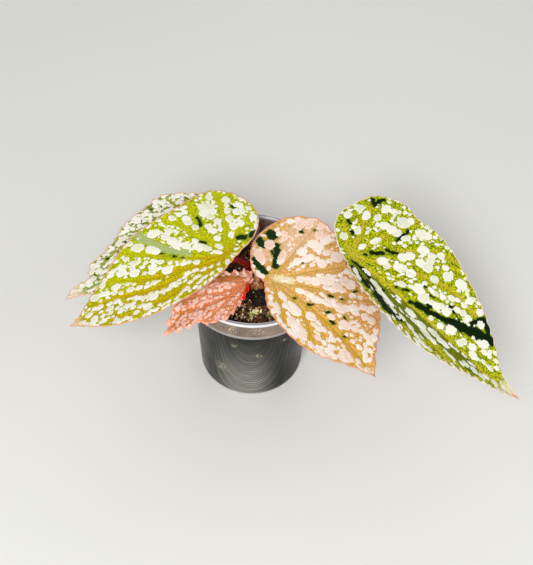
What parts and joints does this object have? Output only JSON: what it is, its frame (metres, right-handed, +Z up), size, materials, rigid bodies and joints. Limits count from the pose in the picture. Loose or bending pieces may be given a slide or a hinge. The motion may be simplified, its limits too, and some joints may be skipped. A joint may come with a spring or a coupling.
{
  "type": "potted begonia",
  "caption": "Small spotted-leaf cane begonia in a round nursery pot: lopsided pointed leaf blades on red stalks from one short cane, standing in dark soil.",
  "frame": {"origin": "centre of the pot's flat base, on the surface that it stands on", "axes": "+Z up out of the pot; the longest spread of the leaves lies along X, the largest leaf towards +X; the side with the low young leaf faces -Y"},
  "size_m": [0.2129, 0.1036, 0.0958],
  "materials": {
    "pot_plastic": "thin smoky grey see-through nursery plastic, satin",
    "soil": "dark peat with pale grit and perlite, matt",
    "cane": "short tan cane with papery stipules",
    "dried_stub": "dried reddish brown flower stub, matt",
    "stalk": "dark red juicy leaf stalk, satin",
    "leaf_front_left": "yellow green blade with silver white spots, satin",
    "leaf_back_left": "cream white blade with pale green marbling, satin",
    "leaf_centre": "peach blade with pinkish white spots and dark green flecks, satin",
    "leaf_right": "yellow green blade with silver white spots and dark green bands, satin",
    "leaf_young": "coral pink young blade with gold veins, satin"
  },
  "bodies": {
    "root": {"pot": "pot_plastic", "soil": "soil", "cane": "cane", "dried_bud_stub": "dried_stub", "stalk_front_left": "stalk", "leaf_front_left": "leaf_front_left", "stalk_back_left": "stalk", "leaf_back_left": "leaf_back_left", "stalk_centre": "stalk", "leaf_centre": "leaf_centre", "stalk_right": "stalk", "leaf_right": "leaf_right", "stalk_young": "stalk", "leaf_young": "leaf_young"}
  },
  "joints": []
}
